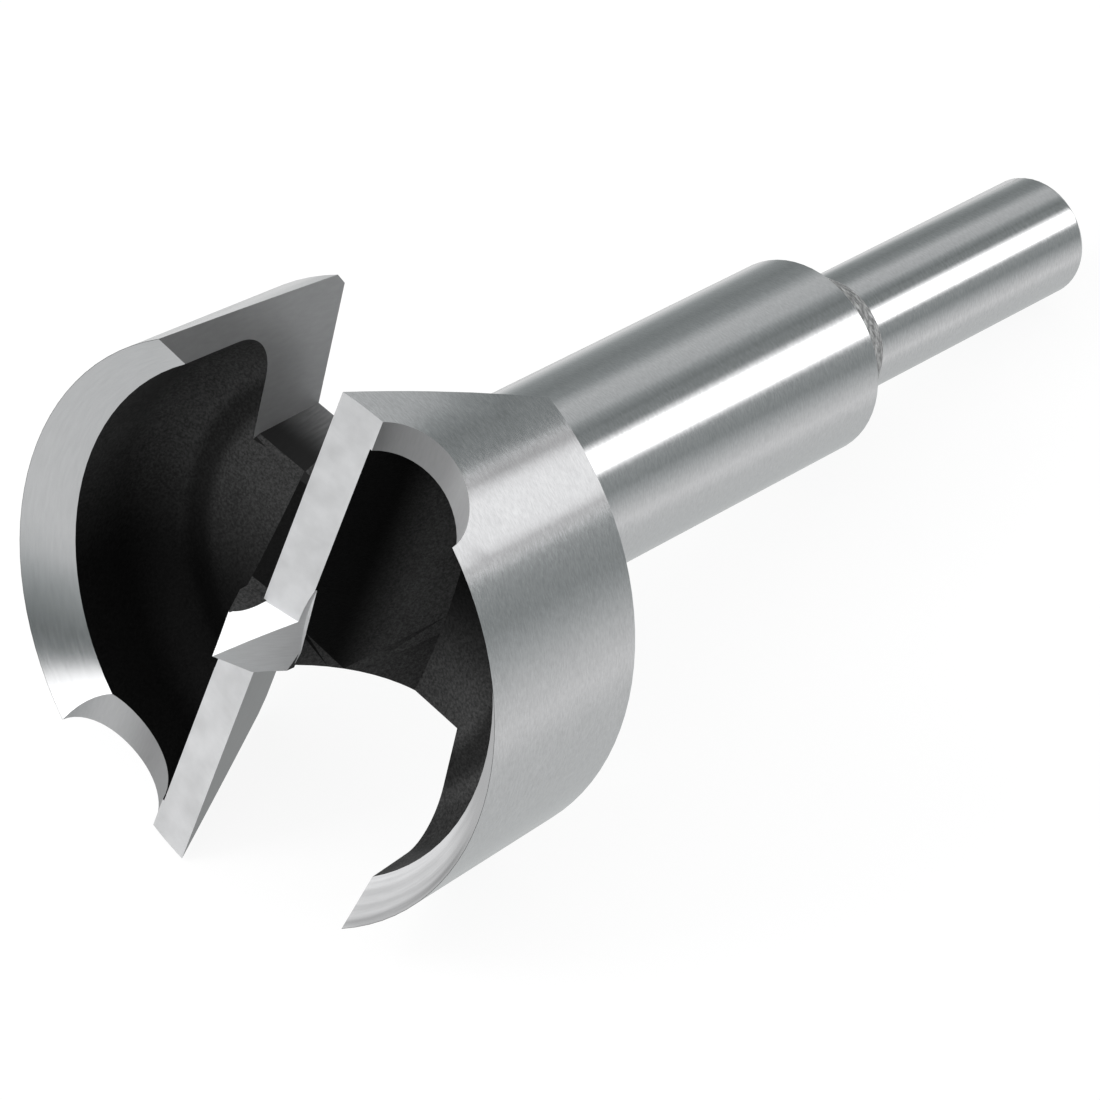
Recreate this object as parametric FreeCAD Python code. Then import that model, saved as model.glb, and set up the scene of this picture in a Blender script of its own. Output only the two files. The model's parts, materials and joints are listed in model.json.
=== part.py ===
import FreeCAD, Part
import math
import os
from FreeCAD import Rotation, Vector

# Forstner bit: one forged, turned and ground piece of tool steel, in millimetres.
# It is modelled upright, with its axis on Z, the rim of the cutting head at Z = 0 and the shank
# below it. One cutting lifter points along +X and leads towards +Y, and every cut is made twice,
# half a turn apart. At the end the bit is laid down the way it comes to rest on a table.

# Cutting head, turned
head_diameter = 45.0
head_height = 17.5
back_taper_deg = 1.95
rear_chamfer = 0.9

# Neck and shank, turned and ground
neck_diameter = 16.0
neck_length = 48.0
neck_root_radius = 1.2
neck_end_chamfer = 0.35
shank_diameter = 10.0
shank_length = 32.3
shank_root_length = 4.4
shank_root_shoulder = 0.5
shank_end_radius = 0.5

# Cup inside the rim, forged
rim_edge_flat = 0.08
rim_bevel_width = 2.7
rim_bevel_depth = 3.1
cup_wall_draft_deg = 0.5
cup_floor_depth = 11.5
cup_floor_fillet = 3.5
cup_dish_radius = 13.0
cup_dish_slope_deg = 8.0

# Cutting lifters: the web that carries them leans back under the land
lifter_depth = 1.0
lifter_lead = 0.7
land_width = 3.42
land_clearance_deg = 7.6
rake_deg = 24.4
web_back_deg = 24.7

# Chip opening ahead of each lifter
spur_face_distance = 13.19
spur_face_turn_deg = 8.3
spur_face_draft_deg = 8.3
throat_gap = 1.2
throat_sweep_radius = 22.4
throat_corner_radius = 1.9
throat_corner_lead = 0.3
throat_corner_end = 2.7
window_lead = 7.5
window_gap = 5.94
window_draft_deg = 12.6

# Round notch that frees the spur behind each heel
notch_radius = 4.95
notch_distance = 7.48
notch_rise = 0.35

# Centre point, ground to four faces
point_height = 4.2
point_foot_diameter = 7.0
point_foot_width = 6.0
point_foot_depth = 2.2
point_foot_step = 0.3
point_front_deg = 26.2
point_side_deg = 25.4
point_wheel_radius = 18.0
point_wheel_shift = 2.95
point_run_out_deg = 5.6

# Room that cutting tools take beyond the steel
overrun = 5.0

head_radius = head_diameter / 2
neck_radius = neck_diameter / 2
shank_radius = shank_diameter / 2
neck_end = -head_height - neck_length
shank_end = neck_end - shank_length
reach = head_diameter + head_height


def tan(degrees):
    return math.tan(math.radians(degrees))


def sin(degrees):
    return math.sin(math.radians(degrees))


def cos(degrees):
    return math.cos(math.radians(degrees))


def head_radius_at(depth):
    """Radius of the tapered outside of the head, depth millimetres behind the rim."""
    return head_radius - depth * tan(back_taper_deg)


def rake_lead_at(depth):
    """Y of the rake face, which leans back under the land."""
    return lifter_lead - (depth - lifter_depth) * tan(rake_deg)


def spur_face_distance_at(depth):
    """Distance from the axis to the ground end face of a rim segment."""
    return spur_face_distance - depth * tan(spur_face_draft_deg)


def arc_through(start, middle, end):
    return Part.Arc(start, middle, end).toShape()


def rounded_corner(before, corner, after, radius):
    """Points where a fillet leaves and joins the two sides of a corner, and its middle."""
    to_before = (before - corner).normalize()
    to_after = (after - corner).normalize()
    half = to_before.getAngle(to_after) / 2
    bisector = (to_before + to_after).normalize()
    centre = corner + bisector * (radius / math.sin(half))
    run = radius / math.tan(half)
    return corner + to_before * run, centre - bisector * radius, corner + to_after * run


def outline(points):
    """Straight edges through the points, and an arc where an entry is a (point, radius) pair."""
    corners = [entry[0] if isinstance(entry, tuple) else entry for entry in points]
    edges = []
    last = corners[0]
    for i, entry in enumerate(points[1:], 1):
        if isinstance(entry, tuple):
            after = corners[(i + 1) % len(corners)]
            start, middle, end = rounded_corner(corners[i - 1], entry[0], after, entry[1])
            edges.append(Part.LineSegment(last, start).toShape())
            edges.append(arc_through(start, middle, end))
            last = end
        else:
            edges.append(Part.LineSegment(last, entry).toShape())
            last = entry
    edges.append(Part.LineSegment(last, corners[0]).toShape())
    return Part.Wire(edges)


def turned(points):
    """Solid turned about the axis from points (radius, depth)."""
    def place(entry):
        if len(entry) == 3:
            return Vector(entry[0], 0, -entry[1]), entry[2]
        return Vector(entry[0], 0, -entry[1])

    face = Part.Face(outline([place(entry) for entry in points]))
    return face.revolve(Vector(0, 0, 0), Vector(0, 0, 1), 360)


def behind_plane(point, normal):
    """Large block of everything on the far side of a plane from its normal."""
    block = Part.makeBox(2 * reach, 2 * reach, 2 * reach, Vector(-reach, -reach, -2 * reach))
    block.Placement = FreeCAD.Placement(point, Rotation(Vector(0, 0, 1), normal))
    return block


def slab(size_x, size_y, low_z, high_z):
    """Block between two levels, from (x0, x1) and (y0, y1)."""
    corner = Vector(size_x[0], size_y[0], low_z)
    return Part.makeBox(size_x[1] - size_x[0], size_y[1] - size_y[0], high_z - low_z, corner)


def half_turn(shape):
    copy = shape.copy()
    copy.rotate(Vector(0, 0, 0), Vector(0, 0, 1), 180)
    return copy


def cut_twice(steel, tools):
    """Every tool cuts once as it is and once half a turn further on."""
    for tool in tools:
        steel = steel.cut(tool).cut(half_turn(tool))
    return steel


def turned_blank():
    """Head, neck and shank as they come off the lathe."""
    rear_radius = head_radius_at(head_height - rear_chamfer)
    root_radius = neck_radius - shank_root_shoulder
    root_end = head_height + neck_length + shank_root_length
    return turned([
        (0, 0),
        (head_radius, 0),
        (rear_radius, head_height - rear_chamfer),
        (rear_radius - rear_chamfer, head_height),
        (neck_radius, head_height, neck_root_radius),
        (neck_radius, -neck_end - neck_end_chamfer),
        (neck_radius - neck_end_chamfer, -neck_end),
        (root_radius, -neck_end),
        (shank_radius, root_end),
        (shank_radius, -shank_end, shank_end_radius),
        (0, -shank_end),
    ])


def cup():
    """Hollow inside the rim: drafted wall, round corner and a dished floor."""
    wall_radius = head_radius - rim_bevel_width
    floor_radius = wall_radius - (cup_floor_depth - rim_bevel_depth) * tan(cup_wall_draft_deg)
    return turned([
        (0, -overrun),
        (wall_radius, -overrun),
        (wall_radius, rim_bevel_depth),
        (floor_radius, cup_floor_depth, cup_floor_fillet),
        (cup_dish_radius, cup_floor_depth),
        (0, cup_floor_depth + cup_dish_radius * tan(cup_dish_slope_deg)),
    ])


def rim_bevel():
    """Knife bevel inside the rim, ground up to the middle of the notch."""
    slope = rim_bevel_width / rim_bevel_depth
    wall_radius = head_radius - rim_bevel_width
    cone = turned([
        (0, -overrun),
        (head_radius - rim_edge_flat + overrun * slope, -overrun),
        (wall_radius, rim_bevel_depth),
        (0, rim_bevel_depth),
    ])
    return cone.common(behind_plane(Vector(0, -notch_distance, 0), Vector(0, 1, 0)))


def flute():
    """Hollow behind the +X lifter, between the leaning web and the cup wall."""
    heel = Vector(0, lifter_lead - land_width, -lifter_depth - land_width * tan(land_clearance_deg))
    back_of_web = Vector(0, cos(web_back_deg), -sin(web_back_deg))
    return cup().common(behind_plane(heel, back_of_web))


def rake_sweep():
    """Room swept by a disc cutter that plunges along the rake face of the +X lifter."""
    centre = Vector(throat_gap + throat_sweep_radius, -reach / 2, 0)
    wheel = Part.makeCylinder(throat_sweep_radius, reach, centre, Vector(0, 1, 0))
    above = slab((centre.x - throat_sweep_radius, reach), (-reach / 2, reach / 2), 0, overrun)
    return wheel.fuse(above)


def rake_corner():
    """Rounded inner corner of the rake face, beside the centre point."""
    foot = lifter_depth + (lifter_lead - throat_corner_lead) / tan(rake_deg)
    middle = Vector(throat_gap, throat_corner_lead, -foot) + Vector(1, 1, 0) * throat_corner_radius
    corner = Part.makeCylinder(throat_corner_radius, point_height + foot + overrun, middle)
    return corner.common(behind_plane(Vector(throat_corner_end, 0, 0), Vector(1, 0, 0)))


def window():
    """Forged opening through the back of the head, below the flute floor."""
    draft = Vector(-cos(window_draft_deg), 0, -sin(window_draft_deg))
    inner = behind_plane(Vector(window_gap, 0, -head_height), draft)
    return inner.common(slab((0, reach), (window_lead, reach / 2), -reach / 2, -cup_floor_depth))


def chip_opening():
    """Opening ahead of the +X lifter, from its rake face to the end of the rim segment."""
    ahead_of_rake = behind_plane(Vector(0, lifter_lead, -lifter_depth),
                                 Vector(0, -cos(rake_deg), sin(rake_deg)))
    turn = 90 + spur_face_turn_deg
    outward = Vector(cos(turn), sin(turn), 0)
    lean = outward * cos(spur_face_draft_deg) + Vector(0, 0, -sin(spur_face_draft_deg))
    before_spur = behind_plane(outward * spur_face_distance, lean)
    room = rake_sweep().fuse(window())
    return room.common(ahead_of_rake).common(before_spur).fuse(rake_corner())


def point_foot():
    """Stub that the centre point is ground from: flat sides, and a step beside each opening."""
    stub = Part.makeCylinder(point_foot_diameter / 2, point_height + point_foot_depth,
                             Vector(0, 0, -point_foot_depth))
    flat = behind_plane(Vector(0, -point_foot_width / 2, 0), Vector(0, 1, 0))
    beside = chip_opening()
    beside.translate(Vector(point_foot_step, 0, 0))
    return cut_twice(stub, (flat, beside))


def land_relief():
    """Steel above the +X lifter's land, out to the notch, and past the front of the point."""
    block = slab((0, head_radius + overrun), (-notch_distance, notch_distance),
                 -head_height, point_height + overrun)
    land = Vector(0, sin(land_clearance_deg), -cos(land_clearance_deg))
    above_land = behind_plane(Vector(0, lifter_lead, -lifter_depth), land)
    front = Vector(-cos(point_front_deg), 0, -sin(point_front_deg))
    beyond_front = behind_plane(Vector(0, 0, point_height), front)
    return block.common(above_land).common(beyond_front)


def point_side():
    """Hollow-ground side of the centre point, run out along the heel of the +X lifter."""
    wheel = Part.makeCylinder(point_wheel_radius, 2 * reach, Vector(0, 0, -reach))
    wheel.rotate(Vector(0, 0, 0), Vector(1, 0, 0), -point_side_deg)
    near_side = math.sqrt(point_wheel_radius ** 2 - point_wheel_shift ** 2)
    wheel.translate(Vector(point_wheel_shift, -near_side / cos(point_side_deg), point_height))
    run_out = Vector(sin(point_run_out_deg), 0, -cos(point_run_out_deg))
    above_foot = behind_plane(Vector(0, 0, -point_foot_depth), run_out)
    width = head_radius - rim_bevel_width
    room = slab((-width / 2, width / 2), (-width / 2, 0), -reach, point_height + overrun)
    return wheel.common(above_foot).common(room)


def spur_notch():
    """Round notch across the rim behind the +X lifter."""
    return Part.makeCylinder(notch_radius, head_radius, Vector(head_radius / 2, -notch_distance,
                                                               notch_rise), Vector(1, 0, 0))


def bit():
    """The whole bit, upright."""
    steel = cut_twice(turned_blank(), (flute(), rim_bevel(), chip_opening())).fuse(point_foot())
    return cut_twice(steel, (land_relief(), point_side(), spur_notch())).removeSplitter()


def lay_down(shape):
    """Lay the bit on the two back corners of its +X chip opening and on the end of its shank."""
    depth = head_height - rear_chamfer
    radius = head_radius_at(depth)
    rake_corner_deg = math.degrees(math.asin(rake_lead_at(depth) / radius))
    spur_corner_deg = 90 + spur_face_turn_deg - math.degrees(
        math.acos(spur_face_distance_at(depth) / radius))
    middle_deg = (rake_corner_deg + spur_corner_deg) / 2
    drop = radius * cos(spur_corner_deg - middle_deg) - shank_radius + shank_end_radius
    run = -shank_end - shank_end_radius - depth
    tilt_deg = math.degrees(math.acos(shank_end_radius / math.hypot(drop, run))
                            - math.atan2(run, drop))
    laid = shape.copy()
    laid.rotate(Vector(0, 0, 0), Vector(0, 0, 1), 180 - middle_deg)
    laid.rotate(Vector(0, 0, 0), Vector(0, 1, 0), tilt_deg - 90)
    box = laid.optimalBoundingBox(False, False)
    laid.translate(Vector(-box.Center.x, -box.Center.y, -box.ZMin))
    return laid


os.makedirs("parts", exist_ok=True)
lay_down(bit()).exportStep("parts/forstner_bit.step")
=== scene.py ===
import json
import math

import bmesh
import bpy
from mathutils import Matrix, Vector


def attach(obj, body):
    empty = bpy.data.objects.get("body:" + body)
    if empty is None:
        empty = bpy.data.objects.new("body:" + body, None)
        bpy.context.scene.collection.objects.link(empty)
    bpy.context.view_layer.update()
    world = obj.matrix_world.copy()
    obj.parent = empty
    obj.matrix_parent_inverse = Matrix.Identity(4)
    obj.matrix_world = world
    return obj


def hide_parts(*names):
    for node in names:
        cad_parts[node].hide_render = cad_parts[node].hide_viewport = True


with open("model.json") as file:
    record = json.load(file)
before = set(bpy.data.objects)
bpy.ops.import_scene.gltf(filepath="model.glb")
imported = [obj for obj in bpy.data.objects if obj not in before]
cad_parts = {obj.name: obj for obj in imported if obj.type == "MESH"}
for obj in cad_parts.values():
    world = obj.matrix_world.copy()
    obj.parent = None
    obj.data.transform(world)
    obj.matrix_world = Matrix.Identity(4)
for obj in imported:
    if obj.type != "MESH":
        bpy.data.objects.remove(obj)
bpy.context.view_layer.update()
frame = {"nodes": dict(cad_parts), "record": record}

# Forstner bit lying on a white table: ground steel outside, black forging scale in the cup

# Sizes of the bit in millimetres and in its own axes: z is 0 at the rim with the shank below it,
# and x points along the lower lifter. Depths are measured down from the rim, radii from the axis
RIM_TO_MOUNT = 83.6
RIM_RADIUS = 22.5
CUP_RADIUS = 19.8
BEVEL_DEPTH = 3.1
HEAD_HEIGHT = 17.5
NECK_RADIUS = 8.0
NECK_END = 65.5
SHANK_ROOT_END = 69.9
POINT_REACH = 9.0
LAND_DEPTH = 3.0
LAND_Y = (-3.3, 0.8)
SIDE_DEPTH = 2.25
NOTCH_DEPTH = 5.0
NOTCH_Y = (-12.8, -2.4)
RAKE_START = 1.0
THROAT_REACH = 15.0
WINDOW_DEPTH = 11.5
DISH_EDGE = (14.8, 15.6)
WALL_FOOT = (16.8, 18.2)

# How far the lower lifter is turned from straight down, in degrees
DOWN_ANGLE = 10.4007

# The share of the spur face's normal along x, and the same along z
FACE_LEAN = 0.1435

# Shading of the rim bevel in degrees: its slope, what the hollow adds from edge to edge, and how
# it rises or falls towards the end of each bevel, between two directions round the axis
BEVEL_SLOPE = 60
BEVEL_HOLLOW = 10
BEVEL_RISE = 12
RISE_BETWEEN = (80, 94)
BEVEL_FALL = 10
FALL_BETWEEN = (106, 120)

# Faces that meet at a larger angle keep a sharp edge
SHARP_ANGLE = math.radians(20)

MM = 0.001
NEAR = 0.01
MERGE_DISTANCE = 1e-7
STEEL_TINT = (0.995, 1.0, 1.012)
WHITE = (1, 1, 1, 1)

# Brightness of the studio by direction round the bit's axis, in degrees from its +x: behind the
# head, which the turned surfaces mirror, and ahead of it, which the bevels and lands mirror
STUDIO_BEHIND = (
    (0, 0.6), (50, 0.7), (66, 0.85), (84, 0.68), (108, 0.34), (127, 0.4), (132, 0.9),
    (136, 2.8), (157, 2.8), (161, 1.3), (168, 0.3), (182, 0.25), (192, 0.38), (199, 0.58),
    (220, 0.64), (238, 0.34), (258, 0.27), (282, 0.36), (306, 0.8), (340, 0.6))
STUDIO_AHEAD = (
    (0, 0.7), (45, 0.75), (68, 0.66), (86, 0.42), (106, 0.18), (117, 0.26), (122, 0.6),
    (126, 1.4), (137, 2.2), (205, 2.2), (235, 1.8), (272, 1.5), (280, 1.0), (320, 0.85))
STUDIO_ON_DULL_SURFACES = 0.4

# The camera that took the photo: metres and degrees, with lens and film in millimetres
CAMERA_PLACE = (-0.316531, -0.233141, 0.337354)
CAMERA_TURN = (49.3684, -3.2797, -49.7416)
CAMERA_LENS = 217.337
FILM_WIDTH = 36
VIEW_DEPTH = 10

# The table in metres, and how much of its own white the camera sees in place of the lit grey
FLOOR_SIZE = 6
FLOOR_GREY = (0.8, 0.8, 0.8, 1)
FLOOR_GLOW = 1.06
GLOW_SHARE = 0.85


def bit_matrix():
    """Turns the row's metres into the bit's own millimetres."""
    shank = next(mount for mount in frame["record"]["mounts"] if mount["name"] == "shank")
    up = -Vector(shank["axis"]).normalized()
    rim = Vector(shank["pos_m"]) + up * RIM_TO_MOUNT * MM
    down = Vector((0, 0, -1))
    down = (down - up * down.dot(up)).normalized()
    lifter = Matrix.Rotation(math.radians(-DOWN_ANGLE), 3, up) @ down
    side = up.cross(lifter)
    turn = Matrix((lifter, side, up)) * (1 / MM)
    return turn.to_4x4() @ Matrix.Translation(-rim)


TO_BIT = bit_matrix()


class Value:
    """A shader socket, with arithmetic that makes the nodes it needs."""

    def __init__(self, nodes, socket):
        self.nodes = nodes
        self.socket = socket

    def math(self, operation, *others):
        sockets = dict(enumerate((self, *others)))
        return self.nodes.node("Math", inputs=sockets, operation=operation)

    def __add__(self, other):
        return self.math("ADD", other)

    def __radd__(self, other):
        return self.math("ADD", other)

    def __mul__(self, other):
        return self.math("MULTIPLY", other)

    def __rmul__(self, other):
        return self.math("MULTIPLY", other)

    def __sub__(self, other):
        return self.math("SUBTRACT", other)

    def __rsub__(self, other):
        return (self * -1) + other

    def band(self, low, high, soft):
        """1 between low and high, falling to 0 over soft on each side."""
        rise = self.nodes.ramp(self, low=low - soft, high=low)
        fall = self.nodes.ramp(self, low=high + soft, high=high)
        return rise * fall


class Nodes:
    """The node tree of one material or world."""

    def __init__(self, owner):
        self.owner = owner
        owner.use_nodes = True
        self.tree = owner.node_tree

    def feed(self, slot, value):
        if isinstance(value, Value):
            self.tree.links.new(value.socket, slot)
        else:
            slot.default_value = value

    def node(self, kind, output=0, inputs=None, stops=None, **settings):
        """Makes a node: its settings and a ramp's stops first, then the values of its sockets."""
        node = self.tree.nodes.new("ShaderNode" + kind)
        for name, value in settings.items():
            setattr(node, name, value)
        if stops:
            elements = node.color_ramp.elements
            elements.remove(elements[1])
            for place, value in stops:
                elements.new(place).color = (value, value, value, 1)
            elements.remove(elements[0])
        for name, value in (inputs or {}).items():
            self.feed(node.inputs[name], value)
        return Value(self, node.outputs[output]) if node.outputs else None

    def place(self, scale=(1, 1, 1)):
        """Position in the bit's own millimetres, times scale."""
        move, turn, size = TO_BIT.decompose()
        row = self.node("TexCoord", "Object")
        own = self.node("Mapping", inputs={
            "Vector": row, "Scale": size, "Rotation": turn.to_euler(), "Location": move})
        return self.node("Mapping", inputs={"Vector": own, "Scale": scale})

    def component(self, vector, axis):
        return self.node("SeparateXYZ", axis, {"Vector": vector})

    def depth(self):
        """Millimetres below the rim."""
        return self.component(self.place(), "Z") * -1

    def turn_round(self, vector):
        """Direction round the z axis, from 0 at -180 degrees to 1 at 180 degrees."""
        return self.node("TexGradient", "Fac", {"Vector": vector}, gradient_type="RADIAL")

    def noise(self, fineness=(1, 1, 1), scale=1.0, detail=2.0, rough=0.5):
        """Noise with its fineness along each of the bit's own axes."""
        return self.node("TexNoise", "Fac", noise_dimensions="3D", inputs={
            "Vector": self.place(fineness), "Scale": scale, "Detail": detail, "Roughness": rough})

    def bands(self, direction, stops):
        """Brightness by direction round the bit's axis, from (degrees, brightness) stops."""
        top = max(value for _, value in stops)
        shares = [((angle / 360 + 0.5) % 1, value / top) for angle, value in stops]
        turn = self.turn_round(direction)
        return self.node("ValToRGB", inputs={"Fac": turn}, stops=shares) * top

    def ramp(self, value, low, high, start=0.0, end=1.0):
        """Goes smoothly from start, where value is low, to end, where it is high."""
        return self.node("MapRange", interpolation_type="SMOOTHSTEP", inputs={
            "Value": value, "From Min": low, "From Max": high, "To Min": start, "To Max": end})

    def grey(self, value, tint=(1.0, 1.0, 1.0)):
        """Colour from one value."""
        return self.node("CombineColor", inputs={
            "Red": value * tint[0], "Green": value * tint[1], "Blue": value * tint[2]})

    def bump(self, height, strength, rise):
        """Relief of the given rise in millimetres."""
        return self.node("Bump", inputs={
            "Height": height, "Strength": strength, "Distance": rise * MM})

    def use(self, **inputs):
        """Feeds the material's own shader and gives the material back."""
        shader = self.tree.nodes["Principled BSDF"]
        for name, value in inputs.items():
            self.feed(shader.inputs[name.replace("_", " ")], value)
        return self.owner


def ground_steel(name, level, roughness, strokes, swing, bump, metallic=1.0, blot=0.04):
    """Bright ground steel. strokes is the fineness of the grinding along the bit's own axes,
    swing is how far it changes the brightness, and blot says the same of a soft cloud."""
    nodes = Nodes(bpy.data.materials.new(name))
    grain = nodes.noise(strokes, detail=3.0, rough=0.6)
    cloud = nodes.noise(scale=0.5, detail=3.0)
    shade = level(nodes) if callable(level) else level
    value = shade * (1.0 + swing * (grain - 0.5) + blot * (cloud - 0.5))
    return nodes.use(Base_Color=nodes.grey(value, STEEL_TINT), Metallic=metallic,
                     Roughness=roughness + 0.08 * (grain - 0.5) + 0.03 * (cloud - 0.5),
                     Normal=nodes.bump(grain, bump, rise=0.02))


def head_painted_shade(nodes):
    """Painted shade: the head's colour is darker in a band in line with the bright band on the neck,
    which dims the highlight there.
    """
    degrees = (nodes.turn_round(nodes.place()) - 0.5) * 360
    return 0.6 * (1 - 0.55 * degrees.band(low=142.0, high=154.5, soft=3.0))


def rim_rings_and_painted_shade(nodes):
    """Rings that the grinding wheel left in the bevel beside the lower chip opening, over painted
    shade: near the tip darker at the outer edge and lighter towards the cup, further round darker
    overall.
    """
    place = nodes.place()
    near_tip = nodes.ramp(nodes.component(place, "X"), low=-1.0, high=6.0)
    this_bevel = nodes.ramp(nodes.component(place, "Y"), low=4.0, high=12.0)
    rings = nodes.noise((0.05, 0.05, 1.6))
    across = nodes.ramp(nodes.depth(), low=0.0, high=BEVEL_DEPTH, start=-0.32, end=0.16)
    change = near_tip * (rings - 0.5 + across) - 0.25 * (1 - near_tip)
    return 0.64 * (1 + this_bevel * change)


def notch_painted_shade(nodes):
    """Painted light and shade: brighter on the spur's side of the notch than beside the lifter."""
    across = nodes.component(nodes.place(), "Y").math("ABSOLUTE")
    return nodes.ramp(across, low=6.8, high=12.0, start=0.235, end=0.56)


def forging_scale(name, level):
    """Dark rough skin of the forging."""
    nodes = Nodes(bpy.data.materials.new(name))
    grit = nodes.noise(scale=4.5, detail=4.0, rough=0.7)
    patch = nodes.noise(scale=0.3)
    shade = level(nodes) if callable(level) else level
    speckle = nodes.ramp(grit, low=0.3, high=0.75, start=0.55, end=1.6)
    value = shade * (speckle + 0.4 * (patch - 0.5))
    return nodes.use(Base_Color=nodes.grey(value), Metallic=0.0, Roughness=0.55,
                     Specular_IOR_Level=0.05, Normal=nodes.bump(grit, 0.5, rise=0.1))


def cup_painted_shade(nodes):
    """Painted shade on the cup's near-black scale: darker towards the notch, the more so on the side
    with y above 0, on the wall, and where the dish begins.
    """
    place = nodes.place()
    x = nodes.component(place, "X")
    y = nodes.component(place, "Y")
    flat = nodes.node("VectorMath", inputs={0: place, 1: (1, 1, 0)}, operation="MULTIPLY")
    radius = nodes.node("VectorMath", "Value", {0: flat}, operation="LENGTH")
    toward_notch = x * y.math("SIGN") * -1
    deep_side = nodes.ramp(y, low=0.0, high=6.0)
    # Painted shade: darker towards the notch, and more so on the side with y above 0
    shade = nodes.ramp(toward_notch, low=-4.0, high=10.0, start=1.9, end=0.2)
    deep_shade = 1 + deep_side * nodes.ramp(toward_notch, low=-2.0, high=7.0, start=0.1, end=-0.6)
    # Painted shade on the wall, and a painted shadow at the dish's edge
    wall = 1 - nodes.ramp(radius, *WALL_FOOT) * (0.1 + 0.2 * deep_side)
    dish_edge_painted_shadow = 1 - 0.6 * radius.band(*DISH_EDGE, soft=1.4)
    return 0.024 * shade * deep_shade * wall * dish_edge_painted_shadow


def web_painted_shadow(nodes):
    """Painted shadow on the scale at the back of the web: darkest right under the heel, lighter
    further down.
    """
    return nodes.ramp(nodes.depth(), low=4.5, high=10.0, start=0.002, end=0.056)


def window_painted_shade():
    """Wall of the forged window, with painted shade: darkest at its end nearest the rim, lighter
    towards the back of the head.
    """
    nodes = Nodes(bpy.data.materials.new("window_wall"))
    streaks = nodes.noise((1.0, 4.0, 0.6), detail=3.0)
    depth_painted_shade = nodes.ramp(nodes.depth(), low=13.3, high=18.0, start=0.004, end=0.16)
    value = depth_painted_shade * (0.5 + streaks)
    return nodes.use(Base_Color=nodes.grey(value, STEEL_TINT), Metallic=0.2, Roughness=0.5,
                     Specular_IOR_Level=0.2)


def rough_root():
    """Unground cone between neck and shank."""
    nodes = Nodes(bpy.data.materials.new("root_cone"))
    spots = nodes.noise(scale=1.6, detail=4.0, rough=0.7)
    value = nodes.ramp(spots, low=0.35, high=0.7, start=0.12, end=0.6)
    return nodes.use(Base_Color=nodes.grey(value), Metallic=0.7, Roughness=0.5,
                     Normal=nodes.bump(spots, 0.8, rise=0.2))


FINISHES = {
    "turned": ground_steel("turned_steel", level=0.62, roughness=0.13, strokes=(2.0, 2.0, 7.0),
                           swing=0.4, bump=0.08),
    "head": ground_steel("head_steel", level=head_painted_shade, roughness=0.15, strokes=(2.0, 2.0, 7.0),
                         swing=0.5, bump=0.08, blot=0.1),
    "rim": ground_steel("rim_bevel", level=rim_rings_and_painted_shade, roughness=0.15, strokes=(0.5, 0.5, 5.0),
                        swing=0.15, bump=0.03),
    "face": ground_steel("ground_face", level=0.35, roughness=0.4, strokes=(3.0, 3.0, 1.0),
                         swing=0.25, bump=0.1, metallic=0.6),
    "notch": ground_steel("notch_face", level=notch_painted_shade, roughness=0.4, strokes=(1.0, 6.0, 6.0),
                          swing=0.2, bump=0.1, metallic=0.5),
    "rake": ground_steel("rake_face", level=0.16, roughness=0.35, strokes=(0.4, 6.0, 6.0),
                         swing=0.1, bump=0.1, metallic=0.8),
    "land": ground_steel("ground_land", level=0.6, roughness=0.4, strokes=(3.0, 0.6, 0.6),
                         swing=0.06, bump=0.05, metallic=0.7, blot=0.4),
    # Painted light: the point's front facet is near white where it catches the light
    "front": ground_steel("point_front_painted_light", level=0.95, roughness=0.45, strokes=(2.0, 1.0, 1.0),
                          swing=0.04, bump=0.1, metallic=0.2),
    "side": ground_steel("point_side", level=0.58, roughness=0.35, strokes=(8.0, 0.7, 0.7),
                         swing=0.25, bump=0.1, metallic=0.5),
    "window": window_painted_shade(),
    "scale": forging_scale("forging_scale", level=cup_painted_shade),
    "web": forging_scale("web_scale_painted_shadow", level=web_painted_shadow),
    # Near-black painted shade on the chip opening's wall beside the point
    "throat": forging_scale("throat_scale_painted_shade", level=0.004),
    "root": rough_root(),
}


def outward_share(x, y, normal):
    """How much of a face's normal points away from the bit's axis."""
    return (normal.x * x + normal.y * y) / max(math.hypot(x, y), NEAR)


def behind_head_kind(radius, depth, outward):
    """Finish of a face on the neck or the shank."""
    on_cone = NECK_END + NEAR < depth < SHANK_ROOT_END and radius < NECK_RADIUS - 0.2
    return "root" if on_cone and outward > 0.1 else "turned"


def in_head_kind(x, y, depth, normal):
    """Finish of a face inside the head, seen from the half that holds the lower lifter."""
    radius = math.hypot(x, y)
    at_top = depth < LAND_DEPTH
    at_point = radius < POINT_REACH
    at_notch = depth < NOTCH_DEPTH and radius > CUP_RADIUS - 0.5 and NOTCH_Y[0] < y < NOTCH_Y[1]
    at_rim = depth < BEVEL_DEPTH and radius > CUP_RADIUS - 0.3
    square_to_x = abs(normal.x) < (0.004 if at_top else 0.02)
    leans_up = normal.z > 0.3
    if at_top and normal.z > 0.97 and LAND_Y[0] < y < LAND_Y[1]:
        return "land"
    if at_top and at_point and leans_up and normal.x > 0.7:
        return "front"
    if at_notch and abs(normal.x) < 0.05:
        return "notch"
    if square_to_x and leans_up and normal.y < -0.8:
        return "web"
    if at_point and depth < SIDE_DEPTH and abs(normal.y) > 0.75 and normal.z > 0.1:
        return "side"
    if abs(normal.x - FACE_LEAN) < NEAR and abs(normal.z - FACE_LEAN) < NEAR:
        return "face"
    if at_rim and normal.z > 0.4 and outward_share(x, y, normal) < -0.3:
        return "rim"
    if x > RAKE_START and normal.y > 0.85 and normal.z < -0.3:
        return "rake"
    if radius < THROAT_REACH and normal.x > 0.85 and normal.z > 0.15:
        return "window" if depth > WINDOW_DEPTH else "throat"
    return "scale"


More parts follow.
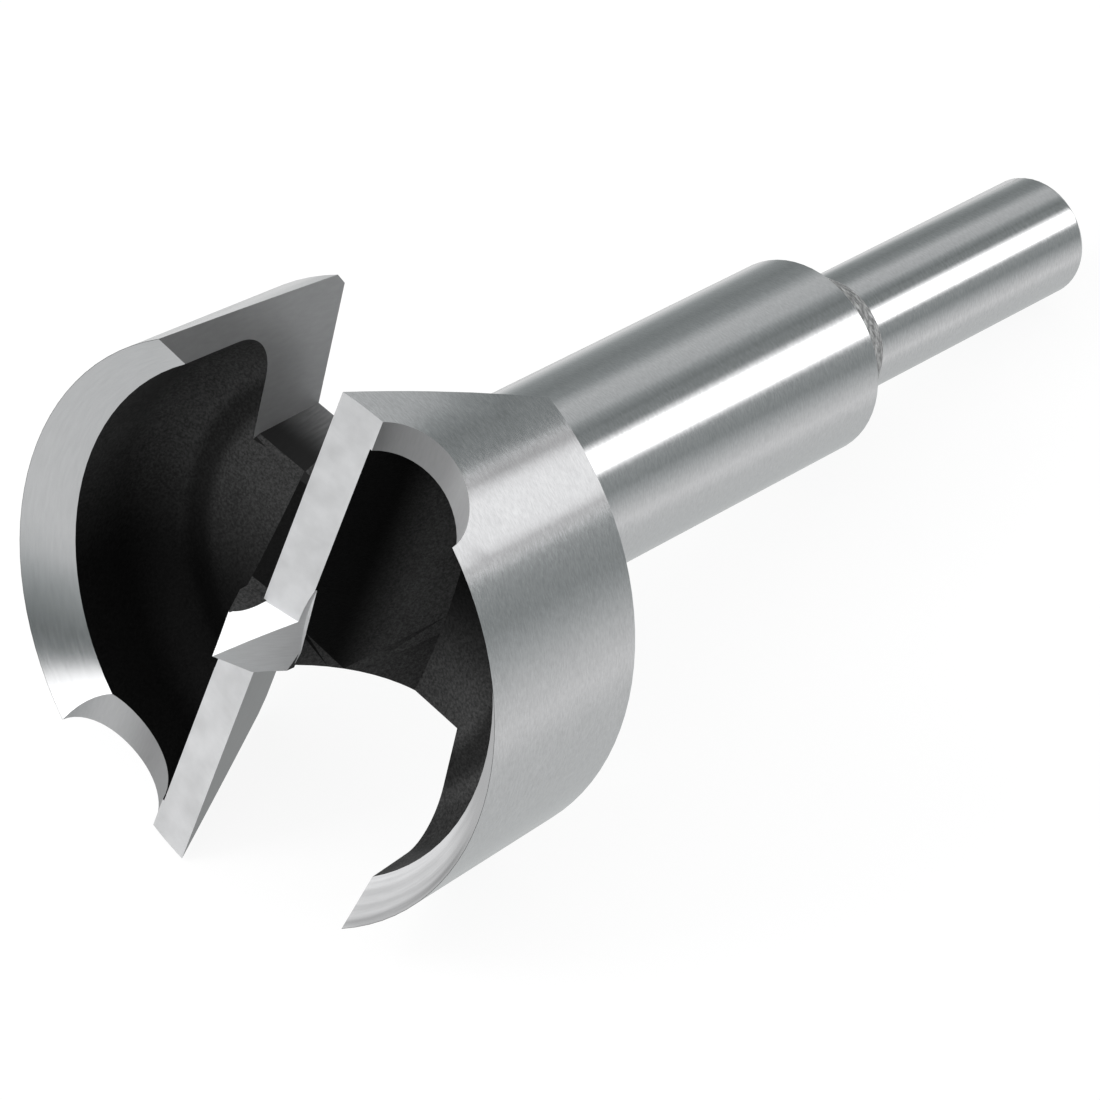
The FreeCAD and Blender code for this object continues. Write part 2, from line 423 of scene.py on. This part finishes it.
def surface_kind(point, normal):
    """Which finish a face has, from its middle and its normal in the bit's own axes."""
    depth = -point.z
    radius = math.hypot(point.x, point.y)
    outward = outward_share(point.x, point.y, normal)
    if depth > HEAD_HEIGHT + NEAR:
        return behind_head_kind(radius, depth, outward)
    if outward > 0.5 and radius > RIM_RADIUS - 2.0 or normal.z < -0.99:
        return "head"
    half = 1 if point.x > 0 else -1
    half_normal = Vector((half * normal.x, half * normal.y, normal.z))
    return in_head_kind(half * point.x, half * point.y, depth, half_normal)


def share_between(value, low, high):
    """How far value has come from low to high, kept between 0 and 1."""
    return min(max((value - low) / (high - low), 0), 1)


def bevel_normal(point):
    """Normal of the rim bevel in the bit's own axes, hollow as a grinding wheel leaves it."""
    inward = -Vector((point.x, point.y, 0)).normalized()
    along = math.degrees(math.atan2(point.y, point.x)) % 180
    hollow = BEVEL_HOLLOW * (-point.z / BEVEL_DEPTH - 0.5)
    if point.y > 0:
        slope = BEVEL_SLOPE + BEVEL_RISE * share_between(along, *RISE_BETWEEN) + hollow
    else:
        slope = BEVEL_SLOPE - BEVEL_FALL * share_between(along, *FALL_BETWEEN) + hollow
    up = Vector((0, 0, 1))
    return inward * math.cos(math.radians(slope)) + up * math.sin(math.radians(slope))


def set_finishes(mesh, kinds):
    """Merges the loose triangles and gives each its finish, with an edge where two finishes meet."""
    bm = bmesh.new()
    bm.from_mesh(mesh)
    bmesh.ops.remove_doubles(bm, verts=bm.verts, dist=MERGE_DISTANCE)
    turn = TO_BIT.to_3x3()
    for face in bm.faces:
        point = TO_BIT @ face.calc_center_median()
        normal = (turn @ face.normal).normalized()
        face.material_index = kinds.index(surface_kind(point, normal))
        face.smooth = True
    for edge in bm.edges:
        finishes = {face.material_index for face in edge.link_faces}
        edge.smooth = len(finishes) == 1 and edge.calc_face_angle() < SHARP_ANGLE
    bm.to_mesh(mesh)
    bm.free()


def shade_bevel(mesh, rim_index):
    """Shades the rim bevel as hollow. The other faces keep the normals they have."""
    to_row = TO_BIT.to_3x3().inverted()
    normals = [Vector((0, 0, 0)) for _ in mesh.loops]
    for face in mesh.polygons:
        if face.material_index == rim_index:
            for i in face.loop_indices:
                corner = TO_BIT @ mesh.vertices[mesh.loops[i].vertex_index].co
                normals[i] = (to_row @ bevel_normal(corner)).normalized()
    mesh.normals_split_custom_set(normals)


def dress_bit():
    """A merged copy of the bit with one finish for each kind of surface."""
    mesh = frame["nodes"]["forstner_bit"].data.copy()
    mesh.name = "bit_steel"
    bit = bpy.data.objects.new("bit_steel", mesh)
    bpy.context.scene.collection.objects.link(bit)
    kinds = list(FINISHES)
    mesh.materials.clear()
    for kind in kinds:
        mesh.materials.append(FINISHES[kind])
    set_finishes(mesh, kinds)
    shade_bevel(mesh, kinds.index("rim"))
    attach(bit, "root")
    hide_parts("forstner_bit")


def floor():
    """Pale table that keeps the bit's shadow. The metal mirrors the studio in its place."""
    bpy.ops.mesh.primitive_plane_add(size=FLOOR_SIZE)
    plane = bpy.context.object
    plane.name = "floor"
    plane.visible_glossy = False
    nodes = Nodes(bpy.data.materials.new("floor_white"))
    lit = nodes.node("BsdfDiffuse", inputs={"Color": FLOOR_GREY})
    glow = nodes.node("Emission", inputs={"Color": WHITE, "Strength": FLOOR_GLOW})
    seen = nodes.node("LightPath", "Is Camera Ray")
    mixed = nodes.node("MixShader", inputs={0: seen * GLOW_SHARE, 1: lit, 2: glow})
    nodes.feed(nodes.tree.nodes["Material Output"].inputs["Surface"], mixed)
    plane.data.materials.append(nodes.owner)


def lamp(name, place, width, power):
    """Soft square light aimed at the bit, in metres and watts. The metal doesn't mirror it."""
    data = bpy.data.lights.new(name, "AREA")
    data.shape = "SQUARE"
    data.size = width
    data.energy = power
    light = bpy.data.objects.new(name, data)
    bpy.context.scene.collection.objects.link(light)
    light.location = place
    light.visible_glossy = False
    light.rotation_euler = (-Vector(place)).to_track_quat("-Z", "Y").to_euler()


def studio():
    """Surroundings that are white to the camera, and bands of light along the bit to its metal."""
    world = bpy.data.worlds.new("studio")
    bpy.context.scene.world = world
    nodes = Nodes(world)
    nodes.tree.nodes.clear()
    turn = TO_BIT.to_3x3().normalized().to_euler()
    generated = nodes.node("TexCoord", "Generated")
    direction = nodes.node("Mapping", inputs={"Vector": generated, "Rotation": turn})
    along = nodes.component(direction, "Z")
    behind = nodes.bands(direction, STUDIO_BEHIND)
    ahead = nodes.bands(direction, STUDIO_AHEAD) * nodes.ramp(along, low=-0.5, high=0.3, start=0.6)
    light = behind + nodes.ramp(along, low=-0.62, high=-0.38) * (ahead - behind)
    dull = nodes.node("LightPath", "Is Diffuse Ray")
    light = light * (1 - (1 - STUDIO_ON_DULL_SURFACES) * dull)
    red = light * nodes.ramp(light, low=0.1, high=0.9, start=0.92)
    cool = nodes.node("CombineColor", inputs={"Red": red, "Green": light, "Blue": light})
    mirrored = nodes.node("Background", inputs={"Color": cool, "Strength": 1.0})
    white = nodes.node("Background", inputs={"Color": WHITE, "Strength": 1.0})
    seen = nodes.node("LightPath", "Is Camera Ray")
    mixed = nodes.node("MixShader", inputs={0: seen, 1: mirrored, 2: white})
    nodes.node("OutputWorld", inputs={"Surface": mixed})


def camera():
    """The photo's own view."""
    data = bpy.data.cameras.new("camera")
    data.lens = CAMERA_LENS
    data.sensor_width = FILM_WIDTH
    data.clip_end = VIEW_DEPTH
    view = bpy.data.objects.new("camera", data)
    bpy.context.scene.collection.objects.link(view)
    view.location = CAMERA_PLACE
    view.rotation_euler = [math.radians(angle) for angle in CAMERA_TURN]
    bpy.context.scene.camera = view


dress_bit()
floor()
lamp("key", place=(-0.8, 0.5, 0.7), width=0.5, power=5)
lamp("fill", place=(-0.9, 0.0, 0.9), width=1.0, power=2)
studio()
camera()
bpy.context.scene.view_settings.view_transform = "Standard"
